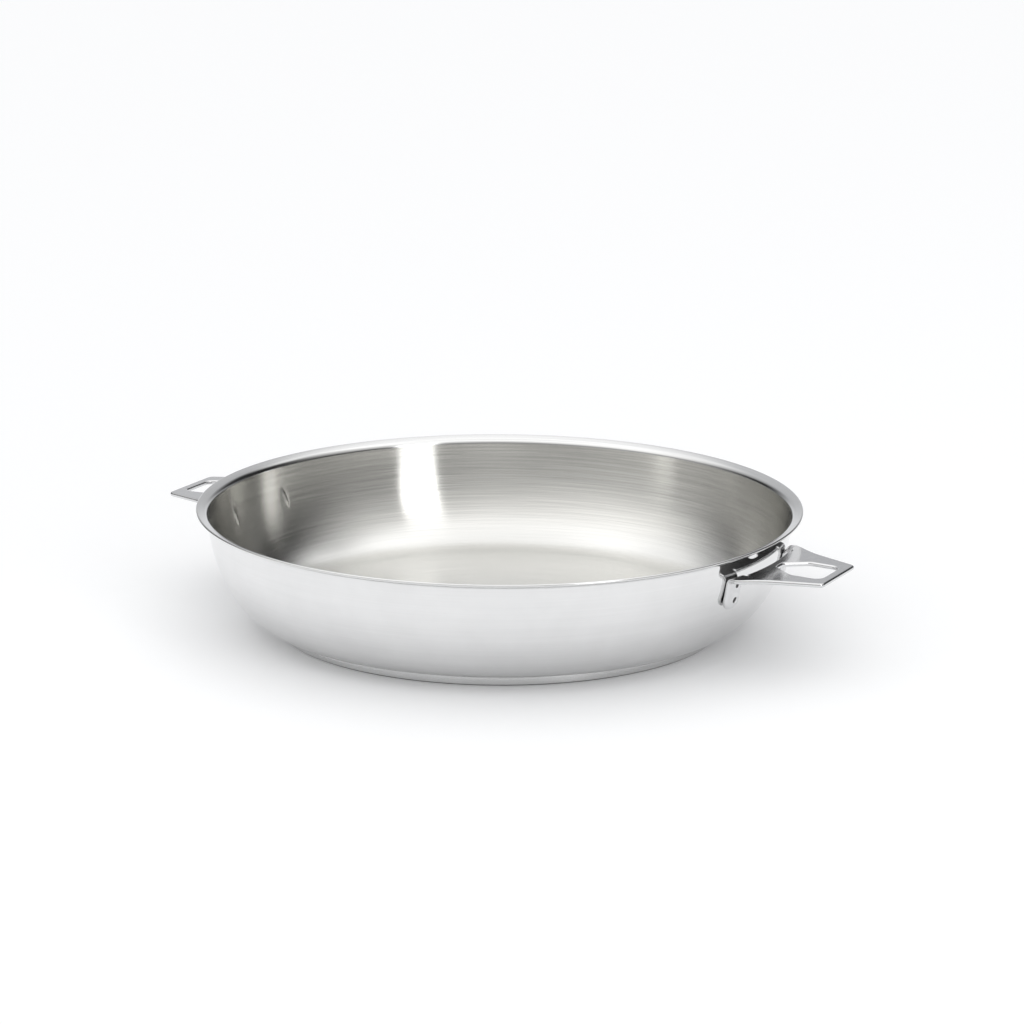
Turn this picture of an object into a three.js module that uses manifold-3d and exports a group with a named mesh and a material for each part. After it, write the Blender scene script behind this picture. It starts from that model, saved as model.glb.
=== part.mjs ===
// A round stainless frying pan with a disc base and two lugs welded to its wall.
// Millimetres and degrees, +Z up. The origin is the middle of the underside of the base, and
// +X runs through the middle of the right lug.

import * as THREE from 'three';
import { mergeVertices } from 'three/addons/utils/BufferGeometryUtils.js';
import Module from 'manifold-3d';

// Shell: a sheet drawn into a flat floor, a swept wall and a flared lip
const rimDiameter = 280;
const panHeight = 56;
const shellSheet = 1.2;
const wallLean = 10.6; // straight wall, from the vertical
const wallSweepRadius = 53.5; // outside of the sweep under the straight wall
const heelRadius = 22; // outside of the tighter sweep into the floor
const heelTurn = 47; // how far the heel turns up from the floor
const lipBendRadius = 3; // underside of the bend into the lip
const lipRise = 19.5; // slope of the lip, from the level
const lipLength = 3; // straight part of the lip

// Base: a cap pressed over a core under the floor
const coreThickness = 3.9;
const coreClearance = 0.3; // between the core and the side of the cap
const capSheet = 0.6;
const capCornerRadius = 1.2; // where the cap's side meets the table
const capEdgeGap = 0.4; // slit between the cap's edge and the shell
const baseOverhang = 1.3; // reach of the base past the flat of the floor

// Bracket: one bent sheet with a lug, a hole and two ears
const bracketSheet = 2;
const lugBelowRim = 11; // from the top of the rim down to the top of the lug
const lugOverhang = 30; // reach of the lug's tip past the rim
const tipWidth = 36;
const tipCornerRadius = 3;
const waistWidth = 50; // across the lug where its sides start to flare
const waistSetback = 19.5; // from the tip back to that place
const flareLead = 8; // how long the flare holds the side's direction
const flareTrail = 2; // how long it holds the ear's direction
const rootGap = 3.2; // open slit between the lug's root edge and the wall
const earSpacing = 55.6; // between the middles of the ears
const earWidth = 10;
const earDrop = 14.5; // from the top of the lug down to the ears' ends
const earCornerRadius = 4.5;
const earBendRadius = 1.2; // inside of the bend between lug and ear
const earRelief = 0.8; // notch beside each ear at the root edge
const weldGap = 0.3; // between an ear and the wall

// Hole through the lug, wide towards the tip and drawn in towards the pan
const holeWidth = 23;
const holeInnerWidth = 7;
const holeTaper = 10; // length over which it draws in
const holeTipStrip = 4.5; // metal between the hole and the tip
const holeRootStrip = 4.2; // metal between the hole and the root edge
const holeOuterRadius = 4;
const holeInnerRadius = 2.5;

// Spot welds: two on each ear, which leave dents on both sides of the joint
const upperWeldDrop = 4; // from the top of the lug
const weldSpacing = 6.4;
const weldInset = 1.7; // from the middle of the ear towards the middle of the lug
const earDentDiameter = 3.4;
const earDentDepth = 0.5;
const wallDentDiameter = 3.4;
const wallDentDepth = 0.35;

// How finely round shapes are cut into faces
const turnSegments = 72;
const sweepSteps = 6;
const bendSteps = 4;
const cornerSteps = 5;
const dentSides = 12;
const dentRings = 20;
const overlap = 1; // how far cutters reach past what they cut
const legLength = 3; // lug metal that each ear shares with the lug
const legInset = 0.2; // lug outline inside the ears' sides

const wasm = await Module();
wasm.setup();

// Plane geometry

function radians(angle) {
  return THREE.MathUtils.degToRad(angle);
}

function towards(angle, distance) {
  const turn = radians(angle);
  return new THREE.Vector2(Math.cos(turn) * distance, Math.sin(turn) * distance);
}

function arc(centre, radius, from, to, steps) {
  const points = [];
  for (let step = 0; step <= steps; step += 1) {
    const angle = from + ((to - from) * step) / steps;
    points.push(centre.clone().add(towards(angle, radius)));
  }
  return points;
}

// A path through corners given as [x, y, radius], each rounded off
function roundedCorners(corners) {
  const path = new THREE.Path();
  const places = corners.map(([x, y]) => new THREE.Vector2(x, y));
  corners.forEach(([, , radius], index) => {
    const corner = places[index];
    const before = places.at(index - 1).clone().sub(corner).normalize();
    const after = places[(index + 1) % places.length].clone().sub(corner).normalize();
    const setback = radius / Math.tan(Math.acos(before.dot(after)) / 2);
    const start = corner.clone().addScaledVector(before, setback);
    const end = corner.clone().addScaledVector(after, setback);
    if (index === 0) {
      path.moveTo(start.x, start.y);
    } else {
      path.lineTo(start.x, start.y);
    }
    path.quadraticCurveTo(corner.x, corner.y, end.x, end.y);
  });
  path.closePath();
  return path;
}

// Solids

function turned(profile) {
  return new THREE.LatheGeometry(profile, turnSegments).rotateX(Math.PI / 2);
}

function solidOf(geometry) {
  const bare = geometry.clone();
  bare.deleteAttribute('normal');
  bare.deleteAttribute('uv');
  const merged = mergeVertices(bare);
  const corners = merged.index.array;
  const triangles = [];
  for (let start = 0; start < corners.length; start += 3) {
    const [a, b, c] = corners.slice(start, start + 3);
    if (a !== b && b !== c && c !== a) {
      triangles.push(a, b, c);
    }
  }
  const mesh = new wasm.Mesh({
    numProp: 3,
    vertProperties: Float32Array.from(merged.attributes.position.array),
    triVerts: Uint32Array.from(triangles),
  });
  return new wasm.Manifold(mesh);
}

function geometryOf(solid) {
  const mesh = solid.getMesh();
  const geometry = new THREE.BufferGeometry();
  geometry.setAttribute('position', new THREE.BufferAttribute(mesh.vertProperties, 3));
  geometry.setIndex(new THREE.BufferAttribute(mesh.triVerts, 1));
  geometry.computeVertexNormals();
  return geometry;
}

// A ball that leaves a dent of the given width and depth at a point of a surface
function dentBall(point, outward, diameter, depth) {
  const halfWidth = diameter / 2;
  const radius = (halfWidth * halfWidth + depth * depth) / (2 * depth);
  const ball = new THREE.SphereGeometry(radius, dentSides, dentRings);
  const pole = new THREE.Vector3(0, 1, 0);
  ball.applyQuaternion(new THREE.Quaternion().setFromUnitVectors(pole, outward));
  const centre = point.clone().addScaledVector(outward, radius - depth);
  ball.translate(centre.x, centre.y, centre.z);
  return solidOf(ball);
}

// Where the shell's outside runs: lip first, then down the wall to the floor
const rimRadius = rimDiameter / 2;
const floorUnder = capSheet + coreThickness;
const heelAngle = heelTurn - 90;
const lipEdge = new THREE.Vector2(rimRadius, panHeight).sub(
  new THREE.Vector2(0, towards(lipRise, shellSheet).x),
);
const lipBendEnd = lipEdge.clone().sub(towards(lipRise, lipLength));
const lipCentre = lipBendEnd.clone().sub(towards(90 + lipRise, lipBendRadius));
const lipBendStart = lipCentre.clone().add(towards(180 - wallLean, lipBendRadius));

// The sweep ends where the straight wall starts, so the wall's height limits its radius
const sweepRisePerRadius = -Math.sin(radians(heelAngle)) - Math.sin(radians(wallLean));
const heelRise = heelRadius * (1 + Math.sin(radians(heelAngle)));
const largestSweep = (lipBendStart.y - floorUnder - heelRise) / sweepRisePerRadius;
const sweepRadius = Math.min(wallSweepRadius, largestSweep);
const sweepEndHeight = floorUnder + heelRise + sweepRadius * sweepRisePerRadius;
const wallSlope = Math.tan(radians(wallLean));
const sweepEnd = new THREE.Vector2(
  lipBendStart.x - (lipBendStart.y - sweepEndHeight) * wallSlope,
  sweepEndHeight,
);
const sweepCentre = sweepEnd.clone().sub(towards(-wallLean, sweepRadius));
const heelCentre = sweepCentre.clone().add(towards(heelAngle, sweepRadius - heelRadius));
const floorRadius = heelCentre.x;

function wallRadius(height) {
  if (height > sweepEnd.y) {
    return sweepEnd.x + (height - sweepEnd.y) * wallSlope;
  }
  const drop = sweepCentre.y - height;
  return sweepCentre.x + Math.sqrt(sweepRadius * sweepRadius - drop * drop);
}

function wallLeanAt(height) {
  if (height > sweepEnd.y) {
    return wallLean;
  }
  return THREE.MathUtils.radToDeg(Math.asin((sweepCentre.y - height) / sweepRadius));
}

// Places of the bracket. An ear lies along the wall's tangent, half way down its face.
const lugTop = panHeight - lugBelowRim;
const lugUnder = lugTop - bracketSheet;
const earEnd = lugTop - earDrop;
const contactHeight = (lugUnder + earEnd) / 2;
const contactRadius = wallRadius(contactHeight);
const earLean = wallLeanAt(contactHeight);
const earTurn = THREE.MathUtils.radToDeg(Math.asin(earSpacing / 2 / contactRadius));
const weldTurn = THREE.MathUtils.radToDeg(Math.asin((earSpacing / 2 - weldInset) / contactRadius));
const earNormal = towards(-earLean, 1);
const earUp = towards(90 - earLean, 1);
const earFace = new THREE.Vector2(contactRadius, contactHeight).addScaledVector(earNormal, weldGap);

// The point of an ear's face against the wall at a given height, in the ear's own section
function earFaceAt(height) {
  return earFace.clone().addScaledVector(earUp, (height - earFace.y) / earUp.y);
}

// The bend's middle is as far from the ear as from the lug
const bendOffset = bracketSheet + earBendRadius;
const bendHeight = lugUnder - earBendRadius;
const bendCentre = earFaceAt(bendHeight - earNormal.y * bendOffset).addScaledVector(
  earNormal,
  bendOffset,
);
const weldHeights = [lugTop - upperWeldDrop, lugTop - upperWeldDrop - weldSpacing];
const earSides = [-1, 1];
const lugTurns = [0, 180];

// A point of the shell or of a bracket, from its radius, height and turn about the pan's axis
function around(radius, height, turn) {
  const plan = towards(turn, radius);
  return new THREE.Vector3(plan.x, plan.y, height);
}

function panBody() {
  const profile = [
    new THREE.Vector2(0, floorUnder),
    ...arc(heelCentre, heelRadius, -90, heelAngle, sweepSteps),
    ...arc(sweepCentre, sweepRadius, heelAngle, -wallLean, sweepSteps).slice(1),
    ...arc(lipCentre, lipBendRadius, 180 - wallLean, 90 + lipRise, bendSteps),
    lipEdge,
    lipEdge.clone().add(towards(90 + lipRise, shellSheet)),
    ...arc(lipCentre, lipBendRadius + shellSheet, 90 + lipRise, 180 - wallLean, bendSteps),
    ...arc(sweepCentre, sweepRadius - shellSheet, -wallLean, heelAngle, sweepSteps),
    ...arc(heelCentre, heelRadius - shellSheet, heelAngle, -90, sweepSteps).slice(1),
    new THREE.Vector2(0, floorUnder + shellSheet),
  ];
  let shell = solidOf(turned(profile));
  for (const lugTurn of lugTurns) {
    for (const side of earSides) {
      const turn = lugTurn + side * weldTurn;
      for (const height of weldHeights) {
        const lean = wallLeanAt(height);
        const inner = new THREE.Vector2(wallRadius(height), height).sub(towards(-lean, shellSheet));
        const inward = towards(180 - lean, 1);
        const point = around(inner.x, inner.y, turn);
        const outward = around(inward.x, inward.y, turn);
        shell = shell.subtract(dentBall(point, outward, wallDentDiameter, wallDentDepth));
      }
    }
  }
  return geometryOf(shell);
}

const baseRadius = floorRadius + baseOverhang;
const capInside = baseRadius - capSheet;

function baseCore() {
  const radius = capInside - coreClearance;
  return turned([
    new THREE.Vector2(0, capSheet),
    new THREE.Vector2(radius, capSheet),
    new THREE.Vector2(radius, floorUnder),
    new THREE.Vector2(0, floorUnder),
  ]);
}

function baseCap() {
  const corner = new THREE.Vector2(baseRadius - capCornerRadius, capCornerRadius);
  const edge = floorUnder - capEdgeGap;
  return turned([
    new THREE.Vector2(0, 0),
    ...arc(corner, capCornerRadius, -90, 0, bendSteps),
    new THREE.Vector2(baseRadius, edge - capSheet),
    ...arc(new THREE.Vector2(capInside, edge - capSheet), capSheet, 0, 90, bendSteps).slice(1),
    new THREE.Vector2(capInside, capSheet),
    new THREE.Vector2(0, capSheet),
  ]);
}

// Half of the lug's outline in plan, from the middle of its tip round to the middle of its root
function lugHalfOutline() {
  const tip = rimRadius + lugOverhang;
  const tipCorner = new THREE.Vector2(tip, tipWidth / 2);
  const waist = new THREE.Vector2(tip - waistSetback, waistWidth / 2);
  const side = waist.clone().sub(tipCorner).normalize();
  const tipStart = tipCorner.clone().addScaledVector(side, tipCornerRadius);
  const earOut = towards(earTurn, 1);
  const earAcross = towards(earTurn + 90, 1);
  const legMiddle = earOut.clone().multiplyScalar(bendCentre.x + legLength / 2);
  const legSide = earWidth / 2 - legInset;
  const outer = legMiddle.clone().addScaledVector(earAcross, legSide);
  const inner = legMiddle.clone().addScaledVector(earAcross, -legSide);
  const lead = waist.clone().addScaledVector(side, flareLead);
  const trail = outer.clone().addScaledVector(earOut, flareTrail);
  const rootRadius = wallRadius(lugTop) + rootGap;
  const notch = (earWidth / 2 + earRelief) / rootRadius;
  const outline = new THREE.Path();
  outline.moveTo(tip, tipCorner.y - tipCornerRadius);
  outline.quadraticCurveTo(tipCorner.x, tipCorner.y, tipStart.x, tipStart.y);
  outline.lineTo(waist.x, waist.y);
  outline.bezierCurveTo(lead.x, lead.y, trail.x, trail.y, outer.x, outer.y);
  outline.lineTo(inner.x, inner.y);
  outline.absarc(0, 0, rootRadius, radians(earTurn) - notch, 0, true);
  return outline.getPoints(cornerSteps);
}

function lugPlate() {
  const half = lugHalfOutline();
  const mirrored = half.slice(0, -1).map((point) => new THREE.Vector2(point.x, -point.y));
  const shape = new THREE.Shape([...half, ...mirrored.reverse()]);
  const outerEnd = rimRadius + lugOverhang - holeTipStrip;
  const innerEnd = wallRadius(lugTop) + rootGap + holeRootStrip;
  const kink = innerEnd + holeTaper;
  const wide = holeWidth / 2;
  const narrow = holeInnerWidth / 2;
  shape.holes.push(
    roundedCorners([
      [outerEnd, -wide, holeOuterRadius],
      [outerEnd, wide, holeOuterRadius],
      [kink, wide, holeOuterRadius],
      [innerEnd, narrow, holeInnerRadius],
      [innerEnd, -narrow, holeInnerRadius],
      [kink, -wide, holeOuterRadius],
    ]),
  );
  const plate = new THREE.ExtrudeGeometry(shape, {
    depth: bracketSheet,
    bevelEnabled: false,
    curveSegments: cornerSteps,
  });
  return solidOf(plate.translate(0, 0, lugUnder));
}

// What rounds off one lower corner of an ear: the square outside its arc
function earCornerCutter(side) {
  const edge = earWidth / 2;
  const straight = edge - earCornerRadius;
  const corner = [
    new THREE.Vector2(straight, -overlap),
    new THREE.Vector2(edge + overlap, -overlap),
    new THREE.Vector2(edge + overlap, earCornerRadius),
    ...arc(new THREE.Vector2(straight, earCornerRadius), earCornerRadius, 0, -90, cornerSteps),
  ];
  const shape = new THREE.Shape(corner.map((point) => new THREE.Vector2(side * point.x, point.y)));
  const cutter = new THREE.ExtrudeGeometry(shape, {
    depth: bracketSheet + 2 * overlap,
    bevelEnabled: false,
  });
  const start = earFaceAt(earEnd).addScaledVector(earNormal, -overlap);
  const place = new THREE.Matrix4().makeBasis(
    new THREE.Vector3(0, 1, 0),
    new THREE.Vector3(earUp.x, 0, earUp.y),
    new THREE.Vector3(earNormal.x, 0, earNormal.y),
  );
  cutter.applyMatrix4(place.setPosition(start.x, 0, start.y));
  return solidOf(cutter);
}

// One ear with its bend and the strip that it shares with the lug, along +X
function ear(earSide) {
  const end = earFaceAt(earEnd);
  const section = new THREE.Shape([
    end,
    end.clone().addScaledVector(earNormal, bracketSheet),
    ...arc(bendCentre, earBendRadius, 180 - earLean, 90, bendSteps),
    new THREE.Vector2(bendCentre.x + legLength, lugUnder),
    new THREE.Vector2(bendCentre.x + legLength, lugTop),
    ...arc(bendCentre, bendOffset, 90, 180 - earLean, bendSteps),
  ]);
  const strip = new THREE.ExtrudeGeometry(section, { depth: earWidth, bevelEnabled: false });
  let solid = solidOf(strip.translate(0, 0, -earWidth / 2).rotateX(Math.PI / 2));
  for (const side of earSides) {
    solid = solid.subtract(earCornerCutter(side));
  }
  for (const height of weldHeights) {
    const face = earFaceAt(height).addScaledVector(earNormal, bracketSheet);
    const point = new THREE.Vector3(face.x, -earSide * weldInset, face.y);
    const outward = new THREE.Vector3(earNormal.x, 0, earNormal.y);
    solid = solid.subtract(dentBall(point, outward, earDentDiameter, earDentDepth));
  }
  return solid.rotate([0, 0, earSide * earTurn]);
}

function bracket() {
  let solid = lugPlate();
  for (const earSide of earSides) {
    solid = solid.add(ear(earSide));
  }
  return geometryOf(solid);
}

const polishedSteel = new THREE.MeshStandardMaterial({
  color: 0xd2d4d4,
  metalness: 1,
  roughness: 0.15,
});
const satinSteel = new THREE.MeshStandardMaterial({ color: 0xb4b6b7, metalness: 1, roughness: 0.35 });
const aluminium = new THREE.MeshStandardMaterial({ color: 0xa9abac, metalness: 1, roughness: 0.5 });

const pan = new THREE.Group();

function place(name, geometry, material, turn = 0) {
  const mesh = new THREE.Mesh(geometry, material);
  mesh.name = name;
  mesh.rotation.z = radians(turn);
  pan.add(mesh);
}

place('pan_body', panBody(), polishedSteel);
place('base_core', baseCore(), aluminium);
place('base_cap', baseCap(), satinSteel);
const bracketGeometry = bracket();
place('bracket_right', bracketGeometry, satinSteel, lugTurns[0]);
place('bracket_left', bracketGeometry, satinSteel, lugTurns[1]);

export default pan;
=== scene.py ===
"""A round stainless frying pan with two welded side lugs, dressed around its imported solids."""

import math

import bmesh
import bpy
import numpy as np
from mathutils import Matrix, Vector
from mathutils.geometry import tessellate_polygon


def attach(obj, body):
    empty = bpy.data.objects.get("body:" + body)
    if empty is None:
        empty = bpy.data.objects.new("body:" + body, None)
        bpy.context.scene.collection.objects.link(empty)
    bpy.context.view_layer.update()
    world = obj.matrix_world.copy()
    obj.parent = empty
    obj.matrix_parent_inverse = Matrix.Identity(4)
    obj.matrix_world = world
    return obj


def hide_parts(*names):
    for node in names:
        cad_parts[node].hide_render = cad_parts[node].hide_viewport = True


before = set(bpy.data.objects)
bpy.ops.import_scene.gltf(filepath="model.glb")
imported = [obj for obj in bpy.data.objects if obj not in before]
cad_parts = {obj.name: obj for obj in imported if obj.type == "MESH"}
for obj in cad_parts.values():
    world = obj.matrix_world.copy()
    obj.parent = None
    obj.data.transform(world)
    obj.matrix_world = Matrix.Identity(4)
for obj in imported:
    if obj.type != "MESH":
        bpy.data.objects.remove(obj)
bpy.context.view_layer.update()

MM = 0.001
JOIN_TOLERANCE = 0.02  # millimetres between points of a path that count as one

# Sizes of the pan in millimetres and degrees; its wall and lip are rounder than the solids'
SHELL_SHEET = 1.2
FLOOR_UNDER = 4.5
FLOOR_RADIUS = 103.16
HEEL_CENTRE = (103.16, 26.5)
HEEL_RADIUS = 22.0
WALL_START = -50.0
WALL_PULL = (14.6, 14.9)
WALL_LEAN = 12.5
WALL_TOP_LEAN = 7.0
LIP_CENTRE = (136.98, 51.996)
LIP_BEND = 1.7
LIP_RISE = 19.5
LIP_EDGE_TOP = (139.60, 56.0)
LIP_EDGE_UNDER = (140.0, 54.869)
LIP_EDGE_ROUND = 0.58
BASE_RADIUS = 104.46
CAP_SHEET = 0.6
CAP_TOP = 4.1
CAP_CORNER = 0.3
FOOT_STEP = (0.8, 0.55)

# Sizes of a bracket
BRACKET_SHEET = 2.0
LUG_MIDDLE = 44.0
TIP = 170.0
TIP_HALF = 18.0
TIP_CORNER = 3.0
WAIST = (150.5, 25.0)
FLARE_LEAD = 8.0
FLARE_TRAIL = 2.0
ROOT_RADIUS = 137.19
EAR_TURN = 12.12
EAR_LEAN = 12.12
EAR_HALF = 5.0
EAR_CORNER = 4.5
EAR_RELIEF = 0.8
EAR_STRAIGHT = 12.24
BEND_CENTRE = (137.09, 41.8)
BEND_INSIDE = 1.2
LEG = 1.5
HOLE_CORNERS = [
    (165.5, -11.5, 4.0),
    (165.5, 11.5, 4.0),
    (151.39, 11.5, 4.0),
    (141.39, 3.5, 2.5),
    (141.39, -3.5, 2.5),
    (151.39, -11.5, 4.0),
]
BEVEL = 0.85
EDGE_FLAT = 0.08
NOTCH_REACH = 0.9
ROOT_CORNER = 0.7
EAR_MARGIN = 0.4
EAR_CUTS = (4.0, 8.0)
LUG_DROOP = 1.6
DROOP_PIVOT = 153.0
DROOP_START = 37.0
DROOP_SPAN = 6.0

# Spot welds
WELD_INSET = 1.7
WELD_HEIGHTS = (41.0, 34.6)
WELD_RADIUS = 1.7
CREASE_TURN = 9.7
CREASE_HEIGHT = 37.8
CREASE_HALF = 3.4
CREASE_WIDTH = 0.55
CREASE_RISE = 0.4
CREASE_SLANT = 0.2
BULGE_RADIUS = 4.0
BULGE_STRETCH = 1.8
BULGE_RISE = 0.09
EAR_DENT_DEPTH = 0.22
EAR_DENT_RING = 0.1
EAR_PIT_RADIUS = 0.9
EAR_PIT_DEPTH = 0.45
EAR_PIT_STRETCH = (0.1, 0.7)
EAR_PIT_SLANT = 0.7
CRATER_REACH = (1.45, 0.08)  # in shares of the weld's radius
CRATER_RINGS = 18
CRATER_SIDES = 36
PULL_START = 1.4
PULL_SPAN = 0.7

# Steels: heights over which a colour changes, and shares
HEEL_SHADE = (6.0, 22.0)
# heights over which the outside darkens into painted shade towards the base
PAINTED_BASE_SHADE = (6.0, 32.0)
FLOOR_LINES = 0.35  # strength of the floor's brush lines beside the wall's
BAND_SHARE = 0.15
BUFF_TINT = 0.045
BUFF_LINES = (0.06, 0.0007, 0.5)  # length, width and share of bands
BUFF_CLOUDS = 45.0
BUFF_BUMP = 0.02
NOISE_RANGE = (0.3, 0.7)  # where most values of a noise lie
LINE_CIRCLE = 0.12  # radius in metres at which lines have their given length
RELIEF = 0.0001  # depth in metres of brush lines at full strength

# Ground, in metres
GROUND_HALF = 9.0
GROUND_DROP = 0.0001
GROUND_COLOUR = (0.875, 0.88, 0.89, 1)
GROUND_GLOW = 0.156

# The photograph's camera, with the pan's axis at the origin
VIEW_TURN = 27.8
VIEW_RISE = 14.488
VIEW_DISTANCE = 1680.0
VIEW_ROLL = 0.287
VIEW_AIM = (5.67, 51.84)
LENS = 127.85
SENSOR = 36.0


# Meshes


def new_object(name, points, faces, materials, face_materials=None):
    mesh = bpy.data.meshes.new(name)
    mesh.from_pydata([tuple(p) for p in points], [], faces)
    for material in materials:
        mesh.materials.append(material)
    if face_materials is not None:
        mesh.polygons.foreach_set("material_index", np.array(face_materials, dtype=np.int32))
    mesh.polygons.foreach_set("use_smooth", np.ones(len(mesh.polygons), dtype=bool))
    mesh.validate()
    mesh.update()
    made = bpy.data.objects.new(name, mesh)
    bpy.context.scene.collection.objects.link(made)
    return made


def towards(angle, distance):
    turn = math.radians(angle)
    return np.array((math.cos(turn) * distance, math.sin(turn) * distance))


def arc(centre, radius, start, end, steps):
    return [np.array(centre) + towards(a, radius) for a in np.linspace(start, end, steps + 1)]


def line(start, end, steps):
    start, end = np.array(start, float), np.array(end, float)
    return [start + (end - start) * k / steps for k in range(steps + 1)]


def rounded(before, corner, after, radius, steps):
    """A corner of a path rounded to the given radius."""
    corner = np.array(corner, float)
    back = np.array(before, float) - corner
    ahead = np.array(after, float) - corner
    back /= np.linalg.norm(back)
    ahead /= np.linalg.norm(ahead)
    half = math.acos(float(np.clip(back @ ahead, -1, 1))) / 2
    middle = corner + (back + ahead) / np.linalg.norm(back + ahead) * radius / math.sin(half)
    first = corner + back * radius / math.tan(half) - middle
    last = corner + ahead * radius / math.tan(half) - middle
    start = math.degrees(math.atan2(first[1], first[0]))
    turn = math.degrees(math.atan2(last[1], last[0])) - start
    turn = (turn + 180) % 360 - 180
    return arc(middle, radius, start, start + turn, steps)


def joined(*paths):
    """Paths end to end, without doubled points."""
    points = []
    for path in paths:
        for point in path:
            if not points or np.linalg.norm(point - points[-1]) > JOIN_TOLERANCE:
                points.append(np.array(point, float))
    return points


def lathe(name, profile, turns, materials, row_material, push=None):
    """Turns a profile that runs from pole to pole about the pan's axis."""
    profile = np.array(profile)
    turns = np.radians(turns)
    columns = len(turns)
    rows = profile[1:-1]
    radius = np.repeat(rows[:, :1], columns, axis=1)
    height = np.repeat(rows[:, 1:], columns, axis=1)
    if push is not None:
        radius, height = push(radius, height, turns)
    ring = np.stack((radius * np.cos(turns), radius * np.sin(turns), height), axis=-1)
    points = np.concatenate((
        ring.reshape(-1, 3),
        [(0, 0, profile[0][1]), (0, 0, profile[-1][1])],
    )) * MM
    first_pole = len(rows) * columns
    faces = []
    kinds = []
    for j in range(columns):
        k = (j + 1) % columns
        faces.append((first_pole, j, k))
        kinds.append(row_material(0))
    for i in range(len(rows) - 1):
        kind = row_material(i + 1)
        for j in range(columns):
            k = (j + 1) % columns
            low, high = i * columns, (i + 1) * columns
            faces.append((low + j, high + j, high + k, low + k))
            kinds.append(kind)
    last = (len(rows) - 1) * columns
    for j in range(columns):
        k = (j + 1) % columns
        faces.append((last + j, first_pole + 1, last + k))
        kinds.append(row_material(len(rows)))
    return new_object(name, points, faces, materials, kinds)


# Shell of the pan


def crease_turns():
    return [lug + side * CREASE_TURN for lug in (0, 180) for side in (1, -1)]


def shell_columns():
    turns = set(np.round(np.arange(0, 360, 1.25), 3))
    for crease in crease_turns():
        turns |= set(np.round((crease + np.arange(-1.8, 1.81, 0.1)) % 360, 3))
    kept = []
    for turn in sorted(turns):
        if not kept or turn - kept[-1] > 0.04:
            kept.append(turn)
    return kept


def wall_curve(offset, steps):
    """The wall from the heel up to the lip, at an offset outwards from its inside."""
    low = np.array(HEEL_CENTRE) + towards(WALL_START, HEEL_RADIUS - SHELL_SHEET)
    high = np.array(LIP_CENTRE) + towards(180 - WALL_TOP_LEAN, LIP_BEND + SHELL_SHEET)
    low_pull = low + towards(WALL_START + 90, WALL_PULL[0])
    high_pull = high - towards(90 - WALL_TOP_LEAN, WALL_PULL[1])
    points = []
    for t in np.linspace(0, 1, steps + 1):
        s = 1 - t
        place = s**3 * low + 3 * s**2 * t * low_pull + 3 * s * t**2 * high_pull + t**3 * high
        run = s**2 * (low_pull - low) + 2 * s * t * (high_pull - low_pull) + t**2 * (high - high_pull)
        run /= np.linalg.norm(run)
        points.append(place + np.array((run[1], -run[0])) * offset)
    return points


def shell_profile():
    """Inside from the floor up, over the lip, then down the outside; with the row where each starts."""
    outer_lip = LIP_BEND + SHELL_SHEET
    inside = joined(
        line((0, FLOOR_UNDER + SHELL_SHEET), (FLOOR_RADIUS, FLOOR_UNDER + SHELL_SHEET), 8),
        arc(HEEL_CENTRE, HEEL_RADIUS - SHELL_SHEET, -90, WALL_START, 16),
        wall_curve(0, 90),
    )
    lip_top = np.array(LIP_CENTRE) + towards(90 + LIP_RISE, outer_lip)
    lip_under = np.array(LIP_CENTRE) + towards(90 + LIP_RISE, LIP_BEND)
    lip = joined(
        arc(LIP_CENTRE, outer_lip, 180 - WALL_TOP_LEAN, 90 + LIP_RISE, 12),
        rounded(lip_top, LIP_EDGE_TOP, LIP_EDGE_UNDER, LIP_EDGE_ROUND, 5),
        rounded(LIP_EDGE_TOP, LIP_EDGE_UNDER, lip_under, LIP_EDGE_ROUND, 5),
    )
    outside = joined(
        arc(LIP_CENTRE, LIP_BEND, 90 + LIP_RISE, 180 - WALL_TOP_LEAN, 10),
        wall_curve(SHELL_SHEET, 44)[::-1],
        arc(HEEL_CENTRE, HEEL_RADIUS, WALL_START, -90, 22),
        line((FLOOR_RADIUS, FLOOR_UNDER), (0, FLOOR_UNDER), 6),
    )
    lip_start = len(inside) - 1
    profile = joined(inside, lip)
    outside_start = len(profile) - 1
    return joined(profile, outside), lip_start, outside_start


def weld_bowl(distance, radius, depth, ring):
    """Depth of a weld's dent at a distance from its middle, with a raised ring round it."""
    inside = np.clip(1 - (distance / radius) ** 2, 0, None)
    rim = np.exp(-(((distance - radius * 1.1) / (radius * 0.28)) ** 2))
    return -depth * inside ** 1.5 + ring * rim


def crease_inner_wall(rows_inside):
    """The low bulge with a narrow crease on it that the welds of each ear leave inside the wall."""

    def push(radius, height, turns):
        lean = math.radians(WALL_LEAN)
        for crease in crease_turns():
            away = (np.degrees(turns) - crease + 180) % 360 - 180
            across = np.radians(away)[None, :] * radius
            along = (height - CREASE_HEIGHT) / math.cos(lean)
            distance = np.sqrt(across**2 + (along / BULGE_STRETCH) ** 2)
            rise = BULGE_RISE * np.clip(1 - (distance / BULGE_RADIUS) ** 2, 0, None) ** 2
            aside = (across - CREASE_SLANT * along) / CREASE_WIDTH
            rise = rise + CREASE_RISE * np.exp(-(aside**2) / 2 - (along / CREASE_HALF) ** 4)
            rise[rows_inside:] = 0
            rise[distance > BULGE_RADIUS] = 0
            radius = radius - rise * math.cos(lean)
            height = height + rise * math.sin(lean)
        return radius, height

    return push


# Brackets


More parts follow.
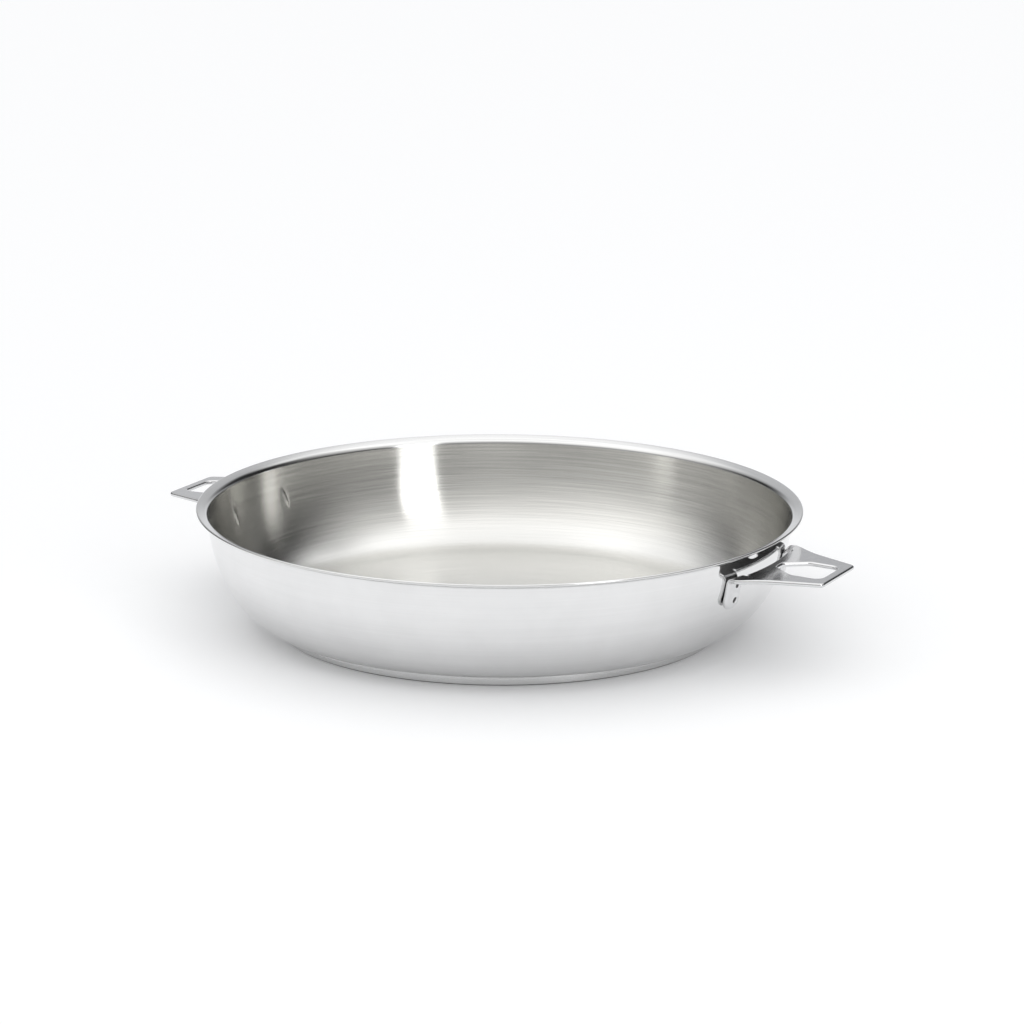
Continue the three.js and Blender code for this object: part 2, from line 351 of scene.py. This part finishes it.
def bracket_half_outline():
    """Flat blank of one half, from the middle of the tip round to the middle of the root edge."""
    tip_corner = np.array((TIP, TIP_HALF))
    waist = np.array(WAIST)
    side = (waist - tip_corner) / np.linalg.norm(waist - tip_corner)
    out = towards(EAR_TURN, 1)
    across = towards(EAR_TURN + 90, 1)

    def on_ear(reach, offset):
        return out * reach + across * offset

    bend_length = (BEND_INSIDE + BRACKET_SHEET / 2) * math.radians(90 - EAR_LEAN)
    ear_end = BEND_CENTRE[0] - bend_length - EAR_STRAIGHT
    flare_end = on_ear(BEND_CENTRE[0] + LEG, EAR_HALF)
    lead = waist + side * FLARE_LEAD
    trail = flare_end + out * FLARE_TRAIL
    flare = []
    for t in np.linspace(0, 1, 26):
        s = 1 - t
        flare.append(s**3 * waist + 3 * s**2 * t * lead + 3 * s * t**2 * trail + t**3 * flare_end)
    tip_round = rounded((TIP, 0), tip_corner, waist, TIP_CORNER, 8)
    outer_end = on_ear(ear_end, EAR_HALF)
    inner_end = on_ear(ear_end, -EAR_HALF)
    outer_round = rounded(flare_end, outer_end, inner_end, EAR_CORNER, 10)
    inner_top = on_ear(BEND_CENTRE[0] + NOTCH_REACH, -EAR_HALF)
    inner_round = rounded(outer_end, inner_end, inner_top, EAR_CORNER, 10)
    notch_middle = on_ear(BEND_CENTRE[0] + NOTCH_REACH, -EAR_HALF - EAR_RELIEF / 2)
    notch = arc(notch_middle, EAR_RELIEF / 2, EAR_TURN + 90, EAR_TURN - 90, 8)
    root_turn = EAR_TURN - math.degrees((EAR_HALF + EAR_RELIEF) / ROOT_RADIUS)
    root_start = towards(root_turn, ROOT_RADIUS)
    root_next = towards(root_turn - 1, ROOT_RADIUS)
    root_round = rounded(notch[-1], root_start, root_next, ROOT_CORNER, 5)
    last_turn = math.degrees(math.atan2(root_round[-1][1], root_round[-1][0]))
    return joined(
        line((TIP, 0), tip_round[0], 12),
        tip_round,
        line(tip_round[-1], waist, 16),
        flare,
        line(flare_end, outer_round[0], 14),
        outer_round,
        inner_round,
        line(inner_round[-1], notch[0], 14),
        notch,
        root_round,
        arc((0, 0), ROOT_RADIUS, last_turn, 0, 20),
    )


def closed_outline():
    half = bracket_half_outline()
    mirrored = [np.array((p[0], -p[1])) for p in half[1:-1]]
    return np.array(half + mirrored[::-1])


def hole_outline():
    """The hole through the lug, the same way round as the outline."""
    count = len(HOLE_CORNERS)
    rounds = []
    for i, (x, y, radius) in enumerate(HOLE_CORNERS):
        before = HOLE_CORNERS[i - 1][:2]
        after = HOLE_CORNERS[(i + 1) % count][:2]
        rounds.append(rounded(before, (x, y), after, radius, 8))
    paths = []
    for i in range(count):
        paths.append(rounds[i])
        start, end = rounds[i][-1], rounds[(i + 1) % count][0]
        steps = max(2, int(np.linalg.norm(end - start) / 1.5))
        paths.append(line(start, end, steps))
    points = joined(*paths)
    if np.linalg.norm(points[0] - points[-1]) < JOIN_TOLERANCE:
        points.pop()
    return np.array(points)


def inset(outline, distance):
    """Moves an outline to its left, so that an anticlockwise one shrinks."""
    before = np.roll(outline, 1, axis=0)
    after = np.roll(outline, -1, axis=0)

    def left(run):
        run = run / np.linalg.norm(run, axis=1)[:, None]
        return np.stack((-run[:, 1], run[:, 0]), axis=1)

    first, second = left(outline - before), left(after - outline)
    middle = first + second
    middle /= np.linalg.norm(middle, axis=1)[:, None]
    reach = 1 / np.clip((middle * first).sum(axis=1), 0.5, None)
    return outline + middle * (distance * reach)[:, None]


def edge_rings():
    """Inset and height of each ring round an edge, from the underside's flat to the top's flat."""
    half = BRACKET_SHEET / 2
    turns = np.radians((0, 22.5, 45, 67.5, 90))
    bend = [(BEVEL * (1 - math.sin(a)), BEVEL * (1 - math.cos(a))) for a in turns]
    rings = [(BEVEL + EDGE_FLAT, -half)]
    rings += [(inwards, -half + up) for inwards, up in bend]
    rings += [(inwards, half - up) for inwards, up in reversed(bend)]
    rings += [(BEVEL + EDGE_FLAT, half)]
    return rings


def fold_point(x, y, h):
    """Where a point of the flat blank lies on the bent bracket; h is its height over the sheet's middle."""
    middle = BEND_INSIDE + BRACKET_SHEET / 2
    full_turn = math.radians(90 - EAR_LEAN)
    place = (x, y, LUG_MIDDLE + h)
    for side in (1, -1):
        turn = math.radians(side * EAR_TURN)
        reach = x * math.cos(turn) + y * math.sin(turn)
        offset = -x * math.sin(turn) + y * math.cos(turn)
        if abs(offset) < EAR_HALF + EAR_MARGIN and reach < BEND_CENTRE[0]:
            run = BEND_CENTRE[0] - reach
            bend = min(run / middle, full_turn)
            rest = max(run - middle * full_turn, 0)
            radius = BEND_CENTRE[0] - math.sin(bend) * (middle + h) - math.cos(bend) * rest
            height = BEND_CENTRE[1] + math.cos(bend) * (middle + h) - math.sin(bend) * rest
            place = (
                radius * math.cos(turn) - offset * math.sin(turn),
                radius * math.sin(turn) + offset * math.cos(turn),
                height,
            )
    x, y, z = place
    share = min(max((z - DROOP_START) / DROOP_SPAN, 0), 1)
    share = share * share * (3 - 2 * share)
    return x, y, z - share * math.tan(math.radians(LUG_DROOP)) * (x - DROOP_PIVOT)


def weld_places():
    """Middle of each weld mark on the flat blank, which way its pit runs and by how much it is longer."""
    middle = BEND_INSIDE + BRACKET_SHEET / 2
    bend_end = BEND_CENTRE[1] + math.sin(math.radians(EAR_LEAN)) * (middle + BRACKET_SHEET / 2)
    places = []
    for side in (1, -1):
        out = towards(side * EAR_TURN, 1)
        across = towards(side * EAR_TURN + 90, 1) * side
        slant = out - across * EAR_PIT_SLANT
        slant /= np.linalg.norm(slant)
        for height, stretch in zip(WELD_HEIGHTS, EAR_PIT_STRETCH):
            rest = (bend_end - height) / math.cos(math.radians(EAR_LEAN))
            reach = BEND_CENTRE[0] - middle * math.radians(90 - EAR_LEAN) - rest
            places.append((out * reach - across * WELD_INSET, slant, stretch))
    return places


def bracket_mesh(name, turn, materials):
    outer = closed_outline()
    hole = hole_outline()
    rings = edge_rings()
    bm = bmesh.new()

    def ring_verts(outline):
        made = []
        for inwards, height in rings:
            moved = inset(outline, inwards)
            made.append([bm.verts.new((p[0], p[1], height)) for p in moved])
        return made

    def skin(loops):
        count = len(loops[0])
        for low, high in zip(loops, loops[1:]):
            for i in range(count):
                k = (i + 1) % count
                bm.faces.new((low[i], low[k], high[k], high[i]))

    outer_loops = ring_verts(outer)
    hole_loops = ring_verts(hole[::-1])
    skin(outer_loops)
    skin(hole_loops)

    def cap(loops, upwards):
        flat = [v for loop in loops for v in loop]
        lines = [[v.co.copy() for v in loop] for loop in loops]
        for triangle in tessellate_polygon(lines):
            corners = [flat[i] for i in triangle]
            normal = (corners[1].co - corners[0].co).cross(corners[2].co - corners[0].co)
            if (normal.z > 0) != upwards:
                corners.reverse()
            bm.faces.new(corners)

    half = BRACKET_SHEET / 2
    crater_loops = []
    steps = np.linspace(*CRATER_REACH, CRATER_RINGS) * WELD_RADIUS
    sides = CRATER_SIDES
    for place, long_way, stretch in weld_places():
        short_way = np.array((-long_way[1], long_way[0]))
        loops = []
        for reach in steps:
            drop = -float(weld_bowl(reach, WELD_RADIUS, EAR_DENT_DEPTH, EAR_DENT_RING))
            drop += EAR_PIT_DEPTH * max(1 - (reach / EAR_PIT_RADIUS) ** 2, 0)
            if reach == steps[0]:
                drop = 0.0
            pulled = min(max((PULL_START - reach) / PULL_SPAN, 0), 1) * stretch
            circle = arc((0, 0), reach, 0, 360, sides)[:-1]
            circle = [place + long_way * p[0] * (1 + pulled) + short_way * p[1] for p in circle]
            loops.append([bm.verts.new((p[0], p[1], -half + drop)) for p in circle])
        for step, wide, narrow in zip(steps[1:], loops, loops[1:]):
            for i in range(sides):
                k = (i + 1) % sides
                face = bm.faces.new((wide[k], wide[i], narrow[i], narrow[k]))
                face.material_index = int(step < EAR_PIT_RADIUS)
        bm.faces.new(loops[-1][::-1]).material_index = 1
        crater_loops.append(loops[0])
    cap([outer_loops[-1], hole_loops[-1]], True)
    cap([outer_loops[0], hole_loops[0]] + crater_loops, False)

    middle = BEND_INSIDE + BRACKET_SHEET / 2
    bend_length = middle * math.radians(90 - EAR_LEAN)
    cuts = list(np.linspace(0, bend_length, 10)) + [bend_length + cut for cut in EAR_CUTS]
    for side in (1, -1):
        out = towards(side * EAR_TURN, 1)
        for cut in cuts:
            at = out * (BEND_CENTRE[0] - cut)
            bmesh.ops.bisect_plane(
                bm,
                geom=bm.verts[:] + bm.edges[:] + bm.faces[:],
                plane_co=(at[0], at[1], 0),
                plane_no=(out[0], out[1], 0),
                dist=1e-5,
            )
    for v in bm.verts:
        v.co = Vector(fold_point(*v.co)) * MM
    bmesh.ops.rotate(bm, verts=bm.verts, cent=(0, 0, 0), matrix=Matrix.Rotation(math.radians(turn), 3, "Z"))
    bmesh.ops.recalc_face_normals(bm, faces=bm.faces)
    mesh = bpy.data.meshes.new(name)
    bm.to_mesh(mesh)
    bm.free()
    for material in materials:
        mesh.materials.append(material)
    mesh.polygons.foreach_set("use_smooth", np.ones(len(mesh.polygons), dtype=bool))
    made = bpy.data.objects.new(name, mesh)
    bpy.context.scene.collection.objects.link(made)
    return made


# Materials


class Nodes:
    """Short calls for making a node material."""

    def __init__(self, name):
        self.material = bpy.data.materials.new(name)
        self.material.use_nodes = True
        self.tree = self.material.node_tree
        self.shader = self.tree.nodes["Principled BSDF"]

    def add(self, kind, **settings):
        node = self.tree.nodes.new(kind)
        for key, value in settings.items():
            if key in node.inputs:
                node.inputs[key].default_value = value
            else:
                setattr(node, key, value)
        return node

    def join(self, source, target):
        self.tree.links.new(source, target)

    def math(self, operation, first, second=None):
        node = self.add("ShaderNodeMath", operation=operation)
        for socket, value in zip(node.inputs, (first, second)):
            if value is None:
                continue
            if hasattr(value, "is_linked"):
                self.join(value, socket)
            else:
                socket.default_value = value
        return node.outputs[0]

    def set(self, **values):
        for key, value in values.items():
            self.shader.inputs[key.replace("_", " ")].default_value = value


def ring_coordinates(nodes, length, width):
    """Coordinates for lines that run round the axis: their length and width in metres."""
    place = nodes.add("ShaderNodeTexCoord").outputs["Object"]
    split = nodes.add("ShaderNodeSeparateXYZ")
    nodes.join(place, split.inputs[0])
    x, y, z = split.outputs
    square = nodes.math("ADD", nodes.math("MULTIPLY", x, x), nodes.math("MULTIPLY", y, y))
    radius = nodes.math("SQRT", nodes.math("ADD", square, 1e-6))
    spread = LINE_CIRCLE / length
    join = nodes.add("ShaderNodeCombineXYZ")
    nodes.join(nodes.math("MULTIPLY", nodes.math("DIVIDE", x, radius), spread), join.inputs[0])
    nodes.join(nodes.math("MULTIPLY", nodes.math("DIVIDE", y, radius), spread), join.inputs[1])
    nodes.join(nodes.math("MULTIPLY", nodes.math("ADD", radius, z), 1 / width), join.inputs[2])
    return join.outputs[0]


def spread(nodes, source, low, high):
    """A noise value's usual range stretched to the given limits."""
    shade = nodes.add("ShaderNodeMapRange")
    shade.inputs["From Min"].default_value = NOISE_RANGE[0]
    shade.inputs["From Max"].default_value = NOISE_RANGE[1]
    shade.inputs["To Min"].default_value = low
    shade.inputs["To Max"].default_value = high
    nodes.join(source, shade.inputs["Value"])
    return shade.outputs[0]


def tinted(nodes, source, colour, change):
    """The colour, darker and lighter by the given share as the noise value falls and rises."""
    ramp = nodes.add("ShaderNodeValToRGB")
    ramp.color_ramp.elements[0].position = NOISE_RANGE[0]
    ramp.color_ramp.elements[1].position = NOISE_RANGE[1]
    ramp.color_ramp.elements[0].color = (*[c * (1 - change) for c in colour], 1)
    ramp.color_ramp.elements[1].color = (*[min(c * (1 + change), 1) for c in colour], 1)
    nodes.join(source, ramp.inputs[0])
    return ramp.outputs[0]


def graded(nodes, low_colour, high_colour, low, high):
    """One colour up to the height low, another from the height high."""
    place = nodes.add("ShaderNodeTexCoord").outputs["Object"]
    split = nodes.add("ShaderNodeSeparateXYZ")
    nodes.join(place, split.inputs[0])
    share = nodes.add("ShaderNodeMapRange")
    share.interpolation_type = "SMOOTHSTEP"
    share.inputs["From Min"].default_value = low * MM
    share.inputs["From Max"].default_value = high * MM
    nodes.join(split.outputs[2], share.inputs["Value"])
    blend = nodes.add("ShaderNodeMix", data_type="RGBA")
    nodes.join(share.outputs[0], blend.inputs["Factor"])
    nodes.join(low_colour, blend.inputs[6])
    nodes.join(high_colour, blend.inputs[7])
    return blend.outputs[2]


def line_noise(nodes, length, width, bands):
    """Fine lines round the axis over broader bands of the same kind, which have the given share."""
    fine = nodes.add("ShaderNodeTexNoise", Scale=1.0, Detail=2.0, Roughness=0.6)
    nodes.join(ring_coordinates(nodes, length, width), fine.inputs["Vector"])
    broad = nodes.add("ShaderNodeTexNoise", Scale=1.0, Detail=2.0, Roughness=0.6)
    nodes.join(ring_coordinates(nodes, length * 2.5, width * 5), broad.inputs["Vector"])
    fine_part = nodes.math("MULTIPLY", fine.outputs[0], 1 - bands)
    return nodes.math("ADD", fine_part, nodes.math("MULTIPLY", broad.outputs[0], bands))


def brushed_steel(name, colour, rough, line_length, line_width, bump, tint, anisotropy, floor_colour=None):
    """Steel with brush lines round the axis; the floor may have a colour of its own."""
    nodes = Nodes(name)
    nodes.set(Metallic=1.0, Anisotropic=anisotropy, Anisotropic_Rotation=0.25)
    lines = line_noise(nodes, line_length, line_width, BAND_SHARE)
    nodes.join(spread(nodes, lines, *rough), nodes.shader.inputs["Roughness"])
    shade = tinted(nodes, lines, colour, tint)
    if floor_colour:
        shade = graded(nodes, tinted(nodes, lines, floor_colour, tint * FLOOR_LINES), shade, *HEEL_SHADE)
    nodes.join(shade, nodes.shader.inputs["Base Color"])
    tangent = nodes.add("ShaderNodeTangent", direction_type="RADIAL", axis="Z")
    nodes.join(tangent.outputs[0], nodes.shader.inputs["Tangent"])
    relief = nodes.add("ShaderNodeBump", Strength=bump, Distance=RELIEF)
    nodes.join(lines, relief.inputs["Height"])
    nodes.join(relief.outputs[0], nodes.shader.inputs["Normal"])
    return nodes.material


def polished_steel(name, colour, rough, grain, tint=0.02):
    """Bright steel with faint marks; grain is the size of the marks in metres."""
    nodes = Nodes(name)
    nodes.set(Metallic=1.0)
    place = nodes.add("ShaderNodeTexCoord").outputs["Object"]
    noise = nodes.add("ShaderNodeTexNoise", Scale=1 / grain, Detail=4.0, Roughness=0.6)
    nodes.join(place, noise.inputs["Vector"])
    nodes.join(spread(nodes, noise.outputs[0], *rough), nodes.shader.inputs["Roughness"])
    nodes.join(tinted(nodes, noise.outputs[0], colour, tint), nodes.shader.inputs["Base Color"])
    return nodes.material


def buffed_steel(name, colour, low_colour, rough):
    """Polished steel with the faint lines and clouds that a buffing wheel leaves, and painted shade that
    darkens it towards the base.
    """
    nodes = Nodes(name)
    nodes.set(Metallic=1.0)
    lines = line_noise(nodes, *BUFF_LINES)
    place = nodes.add("ShaderNodeTexCoord").outputs["Object"]
    clouds = nodes.add("ShaderNodeTexNoise", Scale=BUFF_CLOUDS, Detail=3.0, Roughness=0.6)
    nodes.join(place, clouds.inputs["Vector"])
    both = nodes.math("MULTIPLY", nodes.math("ADD", lines, clouds.outputs[0]), 0.5)
    nodes.join(spread(nodes, clouds.outputs[0], *rough), nodes.shader.inputs["Roughness"])
    # low_colour is painted shade: the wall's lower part is darkened as if it reflected shadowed ground
    painted_base_shade = tinted(nodes, both, low_colour, BUFF_TINT)
    shade = graded(nodes, painted_base_shade, tinted(nodes, both, colour, BUFF_TINT), *PAINTED_BASE_SHADE)
    nodes.join(shade, nodes.shader.inputs["Base Color"])
    relief = nodes.add("ShaderNodeBump", Strength=BUFF_BUMP, Distance=RELIEF)
    nodes.join(lines, relief.inputs["Height"])
    nodes.join(relief.outputs[0], nodes.shader.inputs["Normal"])
    return nodes.material


inside_steel = brushed_steel(
    "inside_brushed",
    colour=(0.74, 0.734, 0.707),
    rough=(0.19, 0.22),
    line_length=0.05,
    line_width=0.0005,
    bump=0.01,
    tint=0.11,
    anisotropy=1.0,
    floor_colour=(0.785, 0.783, 0.765),
)
lip_steel = brushed_steel(
    "lip_brushed",
    colour=(0.74, 0.74, 0.735),
    rough=(0.13, 0.18),
    line_length=0.08,
    line_width=0.0005,
    bump=0.05,
    tint=0.04,
    anisotropy=0.5,
)
# The second colour is painted shade that darkens the outside wall towards the base
outside_steel = buffed_steel("outside_polished", (0.78, 0.78, 0.78), (0.65, 0.65, 0.65), (0.03, 0.07))
cap_steel = brushed_steel(
    "base_turned",
    colour=(0.72, 0.72, 0.72),
    rough=(0.2, 0.3),
    line_length=0.2,
    line_width=0.0008,
    bump=0.1,
    tint=0.06,
    anisotropy=0.6,
)
core_metal = polished_steel("core_aluminium", (0.75, 0.76, 0.77), (0.4, 0.55), 0.004)
bracket_steel = polished_steel("bracket_satin", (0.7, 0.7, 0.706), (0.13, 0.19), 0.003)
weld_scale = polished_steel("weld_scale", (0.1, 0.1, 0.1), (0.35, 0.55), 0.0006, 0.4)
# Near black in the foot's recess under the base: painted shadow for the gap there, not the steel's own
# colour
groove_painted_shade = polished_steel("recess_painted_shadow", (0.1, 0.1, 0.1), (0.5, 0.7), 0.002, 0.1)

# Pieces

profile, lip_start, outside_start = shell_profile()


def shell_kind(row):
    if row < lip_start:
        return 0
    if row < outside_start:
        return 1
    return 2


pan = lathe(
    "pan_shell",
    profile,
    shell_columns(),
    [inside_steel, lip_steel, outside_steel],
    shell_kind,
    crease_inner_wall(lip_start - 2),
)
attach(pan, "root")
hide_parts("pan_body")

CAP_INSIDE = BASE_RADIUS - CAP_SHEET
cap_edge = (BASE_RADIUS - CAP_SHEET / 2, CAP_TOP - CAP_SHEET / 2)
cap_low = (BASE_RADIUS - CAP_CORNER, FOOT_STEP[1] + CAP_CORNER)
foot = BASE_RADIUS - FOOT_STEP[0]
cap_side = joined(
    line((0, CAP_SHEET), (CAP_INSIDE, CAP_SHEET), 6),
    line((CAP_INSIDE, CAP_SHEET), (CAP_INSIDE, cap_edge[1]), 4),
    arc(cap_edge, CAP_SHEET / 2, 180, 0, 8),
    line((BASE_RADIUS, cap_edge[1]), (BASE_RADIUS, cap_low[1]), 6),
    arc(cap_low, CAP_CORNER, 0, -90, 6),
)
cap_groove = joined(
    cap_side,
    line((cap_low[0], FOOT_STEP[1]), (foot, FOOT_STEP[1]), 2),
    line((foot, FOOT_STEP[1]), (foot, 0.1), 2),
)
cap_profile = joined(cap_groove, line((foot - 0.1, 0), (0, 0), 20))


# Rows of the foot's recess take the painted shadow
def cap_kind(row):
    return int(len(cap_side) - 1 <= row < len(cap_groove) - 1)


cap = lathe("base_cup", cap_profile, np.arange(0, 360, 1.25), [cap_steel, groove_painted_shade], cap_kind)
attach(cap, "root")
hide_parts("base_cap")

for name, node, turn in (("lug_right", "bracket_right", 0), ("lug_left", "bracket_left", 180)):
    lug = bracket_mesh(name, turn, [bracket_steel, weld_scale])
    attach(lug, "root")
    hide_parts(node)

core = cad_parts["base_core"]
core.data.materials.clear()
core.data.materials.append(core_metal)

# Floor

floor_paint = Nodes("floor_white")
floor_paint.set(Roughness=0.9, Base_Color=GROUND_COLOUR, Specular_IOR_Level=0.1)
floor_paint.set(Emission_Color=(1, 1, 1, 1), Emission_Strength=GROUND_GLOW)
floor = new_object(
    "floor",
    [(sx * GROUND_HALF, sy * GROUND_HALF, -GROUND_DROP) for sx, sy in ((-1, -1), (1, -1), (1, 1), (-1, 1))],
    [(0, 1, 2, 3)],
    [floor_paint.material],
)

# Camera

scene = bpy.context.scene
right = np.array((*towards(VIEW_TURN, 1), 0))
away = np.array((*towards(VIEW_TURN + 90, 1), 0))
rise = math.radians(VIEW_RISE)
forward = away * math.cos(rise) + np.array((0, 0, -math.sin(rise)))
up = np.cross(right, forward)
roll = math.radians(VIEW_ROLL)
camera_x = right * math.cos(roll) + up * math.sin(roll)
camera_y = -right * math.sin(roll) + up * math.cos(roll)
aim = right * VIEW_AIM[0] + np.array((0, 0, VIEW_AIM[1]))
stand = (aim - forward * VIEW_DISTANCE) * MM
camera_data = bpy.data.cameras.new("camera")
camera_data.sensor_width = SENSOR
camera_data.lens = LENS
camera_data.clip_start = 0.05
camera_data.clip_end = 100.0
camera = bpy.data.objects.new("camera", camera_data)
scene.collection.objects.link(camera)
placed = Matrix.Identity(4)
for column, axis in enumerate((camera_x, camera_y, -forward)):
    for row in range(3):
        placed[row][column] = axis[row]
for row in range(3):
    placed[row][3] = stand[row]
camera.matrix_world = placed
scene.camera = camera

# Light

scene.view_settings.view_transform = "Standard"
scene.view_settings.look = "None"
scene.view_settings.exposure = 0.0
scene.view_settings.gamma = 1.0

# Brightness of the room, and the strip's fade as shares of its height from its low end
# A ring is an elevation and its levels by bearing, from behind the pan on its left round past the camera
BEARINGS = (-180, -130, -70, 0, 60, 115, 140)
ROOM = (
    (5, (0.84, 0.03, 0.42, 0.32, 0.03, 0.03, 0.32)),
    (16, (0.58, 0.03, 0.47, 0.33, 0.18, 0.03, 0.03)),
    (30, (0.65, 0.49, 1.13, 0.75, 0.58, 0.03, 0.03)),
    (48, (1.21, 1.12, 1.34, 1.04, 0.87, 0.71, 1.11)),
    (63, (1.43,)),
    (90, (1.20,)),
)
STRIP_FADE = (0.3, 1.0)
FRONT_TINT = (0.0, 0.0, -0.01)
BACK_TINT = (-0.015, -0.005, 0.02)
TINT_TURN = (90, 60)  # bearing from which the back's tint starts, and over how much it grows
TINT_RISE = (55, 25)  # elevation under which light is tinted, and over how much it grows


def studio(bearing, elevation):
    """Direction from the pan; the bearing is from the camera's side, to the right as the camera sees it."""
    plan = towards(VIEW_TURN - 90 + bearing, math.cos(math.radians(elevation)))
    return Vector((plan[0], plan[1], math.sin(math.radians(elevation))))


def softbox(name, bearing, elevation, distance, width, height, lean, radiance):
    """A flat light that faces the pan, with its top leaning to the right as the camera sees it."""
    data = bpy.data.lights.new(name, "AREA")
    data.shape = "RECTANGLE"
    data.size = width
    data.size_y = height
    data.energy = radiance * math.pi * width * height
    data.use_nodes = True
    tree = data.node_tree
    spot = tree.nodes.new("ShaderNodeSeparateXYZ")
    tree.links.new(tree.nodes.new("ShaderNodeNewGeometry").outputs["Parametric"], spot.inputs[0])
    fade = tree.nodes.new("ShaderNodeMapRange")
    fade.interpolation_type = "SMOOTHSTEP"
    fade.inputs["From Min"].default_value = STRIP_FADE[0]
    fade.inputs["From Max"].default_value = STRIP_FADE[1]
    fade.inputs["To Min"].default_value = 1
    fade.inputs["To Max"].default_value = 0
    tree.links.new(spot.outputs[1], fade.inputs["Value"])
    tree.links.new(fade.outputs[0], tree.nodes["Emission"].inputs["Strength"])
    made = bpy.data.objects.new(name, data)
    scene.collection.objects.link(made)
    outwards = studio(bearing, elevation)
    sideways = studio(bearing + 90, 0)
    upright = outwards.cross(sideways)
    upright *= math.copysign(1, upright.z)
    turn = math.radians(lean)
    top = upright * math.cos(turn) + sideways * math.sin(turn)
    placed = Matrix((top.cross(outwards), top, outwards)).transposed().to_4x4()
    placed.translation = outwards * distance
    made.matrix_world = placed
    return made



def world_light():
    world = bpy.data.worlds.new("studio")
    scene.world = world
    world.use_nodes = True
    tree = world.node_tree

    def add(kind, **settings):
        node = tree.nodes.new(kind)
        for key, value in settings.items():
            setattr(node, key, value)
        return node

    place = add("ShaderNodeTexCoord").outputs["Generated"]

    def along(axis):
        node = add("ShaderNodeVectorMath", operation="DOT_PRODUCT")
        node.inputs[1].default_value = axis
        tree.links.new(place, node.inputs[0])
        return node.outputs["Value"]

    turn = add("ShaderNodeMath", operation="ARCTAN2")
    tree.links.new(along(studio(90, 0)), turn.inputs[0])
    tree.links.new(along(studio(0, 0)), turn.inputs[1])
    share = add("ShaderNodeMapRange")
    share.inputs["From Min"].default_value = -math.pi
    share.inputs["From Max"].default_value = math.pi
    tree.links.new(turn.outputs[0], share.inputs["Value"])

    def tint(bearing, elevation, level):
        """The low light is a little warm in front and a little cool behind."""
        behind = min(max((abs(bearing) - TINT_TURN[0]) / TINT_TURN[1], 0), 1)
        low = min(max((TINT_RISE[0] - elevation) / TINT_RISE[1], 0), 1)
        pairs = zip(FRONT_TINT, BACK_TINT)
        shade = [1 + low * (cool * behind + warm * (1 - behind)) for warm, cool in pairs]
        return (*[level * s for s in shade], 1)

    def ring(elevation, levels):
        bearings = BEARINGS if len(levels) > 1 else BEARINGS[:1]
        stops = [*zip(bearings, levels), (180, levels[0])]
        ramp = add("ShaderNodeValToRGB")
        ramp.color_ramp.interpolation = "EASE"
        spots = ramp.color_ramp.elements
        while len(spots) < len(stops):
            spots.new(0.5)
        for spot, (bearing, level) in zip(spots, stops):
            spot.position = bearing / 360 + 0.5
            spot.color = tint(bearing, elevation, level)
        tree.links.new(share.outputs[0], ramp.inputs[0])
        return ramp.outputs[0]

    height = along((0, 0, 1))

    def rise(first, last):
        node = add("ShaderNodeMapRange", interpolation_type="SMOOTHSTEP")
        node.inputs["From Min"].default_value = math.sin(math.radians(first))
        node.inputs["From Max"].default_value = math.sin(math.radians(last))
        tree.links.new(height, node.inputs["Value"])
        return node.outputs[0]

    whole = ring(*ROOM[0])
    for (below, _), (above, levels) in zip(ROOM, ROOM[1:]):
        blend = add("ShaderNodeMix", data_type="RGBA")
        tree.links.new(rise(below, above), blend.inputs["Factor"])
        tree.links.new(whole, blend.inputs[6])
        tree.links.new(ring(above, levels), blend.inputs[7])
        whole = blend.outputs[2]
    # Past the floor's edge the ground looks white too
    path = add("ShaderNodeLightPath")
    seen = add("ShaderNodeMix", data_type="RGBA")
    seen.inputs[7].default_value = (1, 1, 1, 1)
    tree.links.new(path.outputs["Is Camera Ray"], seen.inputs["Factor"])
    tree.links.new(whole, seen.inputs[6])
    tree.links.new(seen.outputs[2], tree.nodes["Background"].inputs["Color"])


world_light()
softbox(
    "strip_front_right",
    bearing=37.9,
    elevation=30,
    distance=2.2,
    width=0.62,
    height=2.55,
    lean=7,
    radiance=2.39,
)
